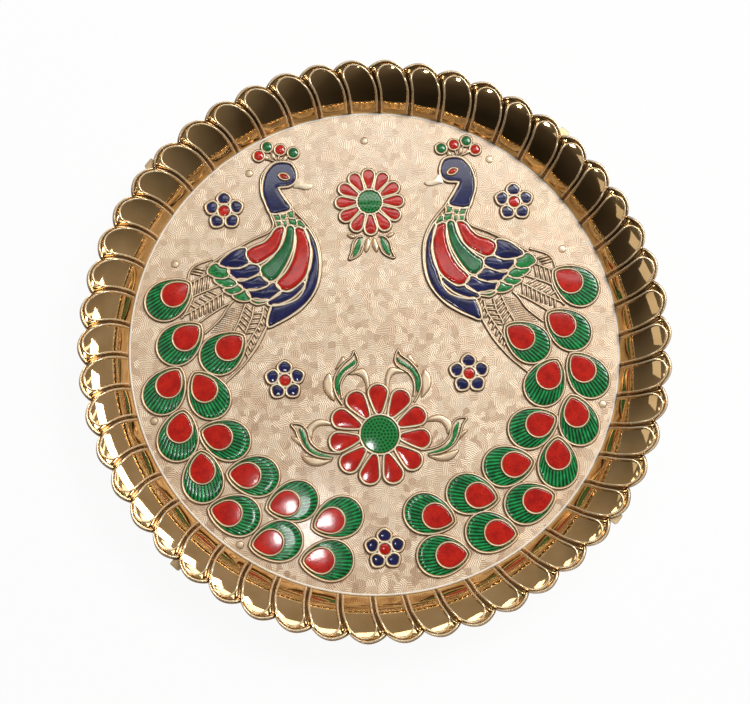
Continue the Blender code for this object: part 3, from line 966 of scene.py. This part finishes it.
body_front = (
    (-30.5, 55.3), (-28.5, 52.0), (-25.8, 47.8), (-22.5, 44.0), (-20.1, 40.7), (-18.2, 36.6),
    (-17.4, 32.6), (-17.3, 27.4), (-18.2, 22.2), (-20.4, 17.8), (-24.0, 13.6), (-28.4, 10.6),
    (-32.8, 8.4), (-35.4, 7.4),
)
body_back = (
    (-30.2, 64.9), (-32.8, 64.2), (-34.8, 62.2), (-36.4, 59.5), (-36.7, 55.8), (-36.2, 52.5),
    (-34.6, 48.7), (-33.3, 45.1), (-32.8, 42.6), (-34.4, 40.2), (-39.7, 37.9), (-44.1, 35.6),
    (-48.6, 33.4), (-52.2, 31.0), (-55.4, 29.0),
)
beak = (
    (-24.5, 59.0), (-22.3, 57.3), (-19.3, 56.4), (-19.3, 55.4), (-21.2, 54.8), (-24.2, 55.5),
    (-25.5, 55.9),
)
crest_dots = (
    (-37.0, 67.2, "red"), (-34.1, 70.3, "green"), (-29.7, 69.1, "red"),
    (-25.3, 67.9, "green"),
)
crest_root = (-30.6, 64.6)
crest_buds = ((-34.5, 66.5, 150.0), (-32.1, 67.1, 108.0), (-28.1, 66.0, 45.0))
bird_eye = ((-27.3, 58.9), (-28.5, 60.2), (-30.1, 60.0), (-29.0, 58.8))

# The gold feathers behind each bird: their quills, and bars between a first and a last one
quills = (
    ((-53.3, 31.6), (-57.4, 30.3), (-59.5, 29.3), (-60.9, 27.8), (-61.5, 26.0), (-61.8, 24.5)),
    ((-55.3, 26.2), (-60.4, 23.9)),
    ((-50.3, 22.7), (-53.4, 21.6), (-58.0, 19.8), (-60.3, 18.7)),
    ((-50.0, 19.9), (-54.6, 17.2), (-57.0, 15.8), (-60.9, 13.8), (-63.1, 12.7)),
    ((-46.7, 17.0), (-52.7, 13.7), (-58.0, 10.2)),
    ((-46.7, 17.0), (-48.6, 14.9), (-51.0, 11.2), (-53.8, 8.5), (-56.5, 6.2)),
    ((-61.8, 24.5), (-60.6, 23.0), (-60.3, 18.7), (-61.1, 16.4), (-63.1, 12.7), (-64.2, 11.7)),
    ((-42.8, 15.8), (-43.9, 13.0), (-44.9, 10.5), (-47.0, 6.4)),
    ((-40.1, 14.7), (-40.8, 11.1), (-42.1, 8.2), (-43.1, 5.8)),
    ((-36.8, 14.4), (-37.5, 11.0), (-38.8, 8.1), (-40.8, 4.8), (-42.4, 2.2), (-43.2, 0.3)),
    ((-34.1, 14.1), (-35.0, 11.7), (-36.0, 8.0), (-38.1, 4.1), (-40.5, -0.2), (-42.5, -2.5)),
    ((-35.9, 7.8), (-37.3, 4.8), (-39.3, 1.1), (-42.1, -2.7), (-45.3, -6.3), (-50.6, -11.0)),
)
bars = (
    ((-59.2, 28.8), (-55.9, 28.0), (-60.7, 27.1), (-57.2, 26.2), 3),
    ((-54.8, 25.5), (-55.4, 21.1), (-59.4, 24.6), (-60.2, 19.2), 4),
    ((-54.9, 20.7), (-51.5, 19.1), (-61.1, 16.4), (-58.7, 14.8), 5),
    ((-50.3, 19.5), (-50.3, 15.3), (-60.8, 13.8), (-60.8, 10.9), 8),
    ((-42.9, 15.2), (-40.5, 13.0), (-45.3, 9.1), (-42.9, 6.2), 5),
    ((-40.2, 12.5), (-37.3, 12.6), (-42.7, 5.8), (-40.2, 6.3), 5),
    ((-36.1, 14.3), (-34.9, 12.5), (-43.2, -0.1), (-42.3, -2.3), 8),
)
fine_bars = ((-48.1, 14.2), (-43.6, 15.2), (-54.5, 6.3), (-47.1, 7.6), 12)


def ring_of(centre, radius, count=24):
    steps = (2.0 * math.pi * i / count for i in range(count))
    return [Vector(centre) + Vector((math.cos(a), math.sin(a))) * radius for a in steps]


def make_bird(side, on):
    """A bird's enamel, the walls round it, and its gold parts."""
    walls = Walls()

    def cell(corners, material, slot, name, nodes, depth=1.2, rise=skin_rise):
        pads = Pads()
        outline = flip(smooth(corners), on)
        pads.add(grown(outline, 0.1), skin_level, rise, depth)
        pads.make(f"{side}_{name}", material, slot, nodes)
        walls.add(grown(outline, 0.55))

    cell(neck, navy, "navy_enamel", "neck_navy", [f"{side}_neck"], 0.7, 0.06)
    cell(breast, navy, "navy_enamel", "breast_navy", [f"{side}_breast"], 0.8)
    colours = {"red": (red, "red_enamel"), "green": (green, "green_enamel")}
    for name, colour, corners in feathers:
        material, slot = colours[colour]
        cell(corners, material, slot, f"{name}_{colour}", [f"{side}_{name}"], 0.7)
    groups = (
        (back_scales, navy, "navy_enamel", "back_navy", "back_scales", 0.8),
        (rump_scales, bright_green, "green_enamel", "rump_green", "rump_scales", 0.65),
        (collar_cells, bright_green, "green_enamel", "collar_green", "collar", 0.45),
    )
    for cells, material, slot, name, node, width in groups:
        pads = Pads()
        for corners in cells:
            rounded = corners if node == "collar" else smooth(corners, step=0.4)
            outline = flip(rounded, on)
            pads.dome(grown(outline, 0.1), middle_of(outline), skin_level, skin_rise)
            walls.add(grown(outline, 0.12 + width / 2.0), width=width)
        pads.make(f"{side}_{name}", material, slot, [f"{side}_{node}"])
    walls.add(flip(smooth(body_front, False), on), False, 0.7)
    walls.add(flip(smooth(body_back, False), on), False, 0.6)
    for colour, (material, slot) in colours.items():
        pads = Pads()
        for x, y, dot_colour in crest_dots:
            if dot_colour == colour:
                spot = spot_on(x, y, on)
                pads.dome(ring_of(spot, 1.6), spot, 4.95, 0.35)
                walls.add(ring_of(spot, 1.95), width=0.6)
        if colour == "red":
            eye = flip(smooth(bird_eye, step=0.3), on)
            pads.dome(eye, middle_of(eye), 5.2, 0.2)
            walls.add(grown(eye, 0.38), width=0.62, top=5.42)
        pads.make(f"{side}_crest_{colour}", material, slot)
    for x, y, _ in crest_dots:
        reach = Vector((x, y)) - Vector(crest_root)
        stalk = [Vector(crest_root) + reach * t for t in (0.0, 0.35, 0.68)]
        walls.add(flip(stalk, on), False, 0.4)
    bill = Pads()
    bill.dome(flip(smooth(beak, step=0.3), on), spot_on(-22.6, 56.3, on), 4.9, 0.3)
    for x, y, tilt in crest_buds:
        bud = [Vector((p.x * 1.5, p.y * 0.8)) for p in ring_of((0.0, 0.0), 0.75)]
        turn = Matrix.Rotation(math.radians(tilt), 2)
        outline = flip([Vector((x, y)) + turn @ p for p in bud], on)
        bill.dome(outline, spot_on(x, y, on), 4.8, 0.3)
        # A brown ring of painted shade round each bud.
        walls.line(grown(outline, 0.1), True, 0.3, 4.84)
    bill.make(f"{side}_beak", cream_gilt, "pale_gilt")
    make_train(walls, on)
    walls.make(f"{side}_bird")


def bars_between(first_start, first_end, last_start, last_end, count):
    """Bars spread evenly from the first to the last."""
    made = []
    for i in range(count):
        share = i / (count - 1)
        start = Vector(first_start).lerp(Vector(last_start), share)
        end = Vector(first_end).lerp(Vector(last_end), share)
        made.append([start, end])
    return made


def make_train(walls, on):
    """The fine gold feathers between the rump and the tail eyes."""
    for quill in quills:
        walls.add(flip(smooth(quill, False), on), False, 0.56, 5.0)
    for group in bars:
        for bar in bars_between(*group):
            walls.add(flip(bar, on), False, 0.6, 4.92)
    for bar in bars_between(*fine_bars):
        walls.line(flip(bar, on), False, 0.25, disc_top + 0.12)


# Flowers

def petal(points, angle, centre):
    """A petal's outline from its half: distance out and half width, turned about the centre."""
    both = [Vector(p) for p in points] + [Vector((r, -w)) for r, w in reversed(points[:-1])]
    turn = Matrix.Rotation(math.radians(angle), 2)
    return [Vector(centre) + turn @ p for p in smooth([tuple(p) for p in both], step=0.4)]


def make_flower(name, centre, petals, half, heart, colours, nodes):
    """A flower's petals, its heart, the walls round both and the gold ground between them."""
    walls, leaves, middle, ground = Walls(), Pads(), Pads(), Pads()
    petal_colour, heart_colour = colours
    for i in range(petals):
        outline = petal(half, 90.0 + 360.0 * i / petals, centre)
        leaves.dome(grown(outline, 0.08), middle_of(outline), 4.88, 0.12)
        walls.add(grown(outline, 0.5), width=0.8)
    leaves.make(f"{name}_petal_enamel", *petal_colour, nodes[:1])

    def from_centre(x, y):
        return (x - centre[0], y - centre[1])

    middle.dome(ring_of(centre, heart + 0.05, 40), Vector(centre), 4.9, 0.2, from_centre)
    middle.make(f"{name}_heart_enamel", *heart_colour, nodes[1:])
    walls.add(ring_of(centre, heart + 0.5, 48), width=0.8)
    walls.make(name)
    widest = max(w for _, w in half)
    reach = min(r for r, w in half if w == widest)
    ground.dome(ring_of(centre, reach, 48), Vector(centre), disc_top + 0.3, 0.0)
    ground.make(f"{name}_ground", plain_gold, "pale_gilt")


big_petal = (
    (7.2, 0.5), (8.6, 1.2), (10.8, 2.0), (12.8, 2.6), (14.2, 2.75), (15.4, 2.1),
    (16.1, 1.0), (16.25, 0.0),
)
top_petal = (
    (4.9, 0.4), (6.2, 0.85), (8.0, 1.4), (9.4, 1.65), (10.5, 1.3), (11.0, 0.6),
    (11.1, 0.0),
)
small_petal = (
    (2.9, 1.0), (3.4, 1.5), (4.1, 1.85), (4.8, 1.7), (5.4, 1.15), (5.9, 0.5),
    (6.05, 0.0),
)

# Leaf sprays on the artwork's left: green enamel, the gilt leaves beside it, and the edges
leaf_greens = (
    (
        (-6.9, -4.1), (-8.2, -5.2), (-10.8, -7.1), (-12.8, -9.1), (-14.0, -11.6), (-13.9, -13.9),
        (-13.0, -16.2), (-12.6, -13.5), (-12.5, -11.2), (-11.0, -8.6), (-9.1, -7.1), (-7.1, -5.7),
    ),
    (
        (-26.2, -26.5), (-24.6, -28.3), (-23.7, -31.7), (-21.4, -34.3), (-18.0, -35.6),
        (-15.3, -36.5), (-18.7, -36.4), (-22.2, -35.0), (-24.6, -32.1), (-25.9, -28.7),
    ),
    ((-3.3, 37.4), (-4.3, 36.4), (-5.7, 33.8), (-6.2, 31.0), (-4.8, 31.9), (-3.7, 34.2)),
)
leaf_edges = (
    (
        (-11.8, -17.4), (-12.2, -14.3), (-11.9, -12.0), (-10.3, -9.4), (-7.6, -7.6), (-6.2, -5.7),
        (-6.3, -3.8), (-7.3, -1.6), (-8.2, -3.3), (-10.9, -5.5), (-13.3, -8.5), (-14.4, -11.5),
        (-14.3, -14.2), (-13.3, -16.9), (-11.8, -19.3),
    ),
    (
        (-13.1, -35.2), (-16.9, -34.8), (-20.4, -33.5), (-22.8, -30.9), (-23.7, -27.5),
        (-25.7, -25.3), (-28.8, -25.2), (-27.5, -27.3), (-26.2, -31.0), (-24.1, -34.0),
        (-20.6, -36.1), (-16.0, -36.9),
    ),
    (
        (-2.7, 37.7), (-4.6, 37.4), (-6.2, 35.4), (-6.8, 32.5), (-7.7, 30.0), (-5.9, 30.3),
        (-3.8, 31.8), (-2.7, 34.4),
    ),
)
leaf_golds = (
    ((-15.8, -8.6), (-17.6, -11.0), (-17.5, -14.1), (-15.9, -16.5), (-14.4, -17.7),
     (-14.7, -15.0), (-14.7, -11.5)),
    ((-11.0, -3.2), (-12.4, -5.1), (-13.6, -7.3), (-12.1, -6.2), (-10.3, -4.8)),
    (
        (-9.2, -9.2), (-6.5, -7.8), (-4.2, -7.7), (-2.8, -10.8), (-2.9, -14.7), (-3.8, -16.2),
        (-3.8, -13.1), (-4.8, -10.4), (-6.9, -9.3),
    ),
    (
        (-15.5, -25.7), (-17.4, -24.2), (-20.5, -24.0), (-23.4, -26.0), (-23.8, -28.3),
        (-22.4, -30.1), (-21.8, -27.8), (-20.0, -26.0), (-17.4, -25.8),
    ),
    ((-28.9, -29.2), (-26.6, -29.9), (-25.5, -32.5), (-26.9, -31.4)),
    (
        (-15.6, -37.0), (-18.6, -37.2), (-22.5, -36.2), (-25.5, -35.7), (-23.9, -38.1),
        (-21.2, -39.0), (-18.2, -38.5),
    ),
    ((-1.2, 37.1), (-2.1, 35.2), (-2.3, 33.6), (-1.8, 32.2), (-0.9, 33.3), (-0.4, 34.9),
     (-0.5, 36.5)),
    ((-7.9, 38.4), (-6.8, 38.6), (-5.3, 37.7), (-6.4, 37.2)),
)
pips = (
    (-0.9, 71.6), (-40.4, 61.2), (-65.9, 30.3), (-73.5, -22.3),
    (41.7, 63.6), (64.6, 31.1), (74.3, -22.4), (-46.5, -63.5),
)


def make_leaves():
    walls, greens, golds = Walls(), Pads(), Pads()
    for _, on in sides:
        for corners in leaf_greens:
            greens.add(flip(smooth(corners, step=0.35), on), 4.84, 0.12, 0.5, 0.4)
        for corners in leaf_edges:
            walls.add(flip(smooth(corners, False, 0.4), on), False, 0.5, 5.05)
        for corners in leaf_golds:
            outline = flip(smooth(corners, step=0.35), on)
            golds.add(outline, 4.72, 0.22, 0.7, 0.4)
            # A brown line of painted shade round each gilt leaf.
            walls.line(outline, True, 0.35, 4.80)
    for place in pips:
        golds.dome(ring_of(place, 1.1), Vector(place), disc_top + 0.06, 0.16)
        # A brown ring of painted shade round each pip's foot.
        walls.line(ring_of(place, 1.25), True, 0.25, disc_top + 0.08)
    greens.make("leaf_greens", bright_green, "green_enamel")
    golds.make("leaf_golds", plain_gold, "pale_gilt")
    walls.make("leaf")


def make_flowers():
    reds, greens = (red, "red_enamel"), (dotted_green, "green_enamel")
    navies = (navy, "navy_enamel")
    large = (
        ("big_flower", (0.0, -29.6), 11, big_petal, 6.1),
        ("top_flower", (0.0, 49.7), 12, top_petal, 3.9),
    )
    for name, *shape in large:
        make_flower(name, *shape, (reds, greens), [name + "_petals", name + "_heart"])
    small = (
        ("upper_left", -49.2, 48.1),
        ("upper_right", 49.2, 48.1),
        ("middle_left", -30.5, -10.5),
        ("middle_right", 30.5, -10.5),
        ("bottom", 0.0, -66.8),
    )
    for spot, x, y in small:
        name = f"small_flower_{spot}"
        make_flower(name, (x, y), 5, small_petal, 1.7, (navies, reds), [name + "_petals"])


# Camera, light and floor

def make_camera():
    """The view from nearly overhead, a little below the artwork's lower edge."""
    distance, tilt = 432.2, math.radians(11.07)
    swing, roll = math.radians(-12.5), math.radians(-10.184)
    lens, sensor = 62.46, 36.0
    picture_width, shift_right, shift_up = 750.0, 0.81, 6.04
    across = Vector((math.cos(swing), math.sin(swing), 0.0))
    level = Vector((-math.sin(swing), math.cos(swing), 0.0))
    upward = level * math.cos(tilt) + Vector((0.0, 0.0, math.sin(tilt)))
    back = Vector((0.0, 0.0, math.cos(tilt))) - level * math.sin(tilt)
    right = across * math.cos(roll) - upward * math.sin(roll)
    top = across * math.sin(roll) + upward * math.cos(roll)
    data = bpy.data.cameras.new("camera")
    data.lens = lens
    data.sensor_width = sensor
    data.sensor_fit = "HORIZONTAL"
    data.shift_x = -shift_right / picture_width
    data.shift_y = -shift_up / picture_width
    data.clip_start = 0.01
    data.clip_end = 100.0
    made = new_object("camera", data)
    turn = Matrix((right, top, back)).transposed().to_4x4()
    place = (Vector((0.0, 0.0, disc_top)) + back * distance) * MM
    made.matrix_world = Matrix.Translation(place) @ turn
    bpy.context.scene.camera = made


def area_light(name, place, size, power, aim):
    """A lamp over this place, in metres, that points at another on the table."""
    data = bpy.data.lights.new(name, "AREA")
    data.shape = "RECTANGLE"
    data.size, data.size_y = size
    data.energy = power
    made = new_object(name, data)
    made.location = (*place, lamp_height)
    made.rotation_mode = "QUATERNION"
    way = Vector((*aim, 0.0)) - Vector((*place, lamp_height))
    made.rotation_quaternion = way.to_track_quat("-Z", "Y")


def make_world():
    """A dim studio: dark on the camera's side and to the left, greyer on the far side."""
    far_share, right_share = 0.42, 0.24
    world = bpy.data.worlds.new("studio")
    bpy.context.scene.world = world
    studio = Nodes(world)
    way = studio.node("SeparateXYZ", {0: studio.node("TexCoord").outputs["Generated"]}).outputs
    far = studio.math("MULTIPLY_ADD", way["Y"], far_share, 0.5)
    colour = studio.ramp(
        studio.math("MULTIPLY_ADD", way["X"], right_share, far),
        (0.05, (0.02, 0.018, 0.016)),
        (0.30, (0.06, 0.052, 0.046)),
        (0.50, (0.17, 0.16, 0.15)),
        (0.72, (0.37, 0.34, 0.32)),
        (1.0, (0.42, 0.39, 0.37)),
    )
    background = studio.tree.nodes["Background"]
    studio.tree.links.new(colour, background.inputs["Color"])
    background.inputs["Strength"].default_value = 1.0


def make_floor():
    """A pale floor with a low upstand along its far edges. What looks at it sees nearly white."""
    size, upstand, white = 20.0, 1.0, 0.94
    corners = ((-size, -size), (size, -size), (size, size), (-size, size))
    points = [(x, y, z) for z in (0.0, upstand) for x, y in corners]
    walls = [(i, i + 4, (i + 1) % 4 + 4, (i + 1) % 4) for i in range(4)]
    mesh = bpy.data.meshes.new("floor")
    mesh.from_pydata(points, [], [(0, 1, 2, 3), *walls])
    new_object("floor", mesh)
    pale = Shader("pale_floor", Base_Color=(0.86, 0.86, 0.86, 1.0), Roughness=0.9)
    rays = pale.node("LightPath").outputs
    seen = pale.math("MAXIMUM", rays["Is Camera Ray"], rays["Is Glossy Ray"])
    seen = pale.math("MAXIMUM", seen, rays["Is Transmission Ray"])
    share = pale.math("MULTIPLY", seen, white)
    glow = pale.node("Emission").outputs[0]
    mix = pale.node("MixShader", {0: share, 1: pale.surface.outputs[0], 2: glow})
    pale.tree.links.new(mix.outputs[0], pale.tree.nodes["Material Output"].inputs["Surface"])
    mesh.materials.append(pale.material)


# Name, place, size, power and aim
lamp_height = 0.95
lamps = (
    ("overhead_softbox", (-0.038, -0.004), (0.055, 0.045), 0.34, (0.0, 0.0)),
    ("near_strip", (0.17, 0.2645), (0.66, 0.034), 0.22, (0.17, 0.2645)),
    ("far_strip", (0.055, 0.445), (0.43, 0.17), 0.85, (0.055, 0.445)),
    ("far_softbox", (0.58, 0.49), (0.60, 0.34), 10.8, (0.0, 0.0)),
    ("left_softbox", (-0.48, 0.15), (0.46, 0.40), 0.42, (-0.48, 0.15)),
)

slope_curve = make_slope_curves()
make_camera()
make_plate()
make_arches()
make_disc()
make_flowers()
make_leaves()
for side_name, is_right in sides:
    make_tail(side_name, is_right)
    make_bird(side_name, is_right)
for name in ("glue_ring", "glue_pad"):
    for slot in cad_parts[name].material_slots:
        slot.material = glue.material
make_world()
make_floor()
for lamp in lamps:
    area_light(*lamp)
bpy.context.scene.view_settings.view_transform = "Standard"
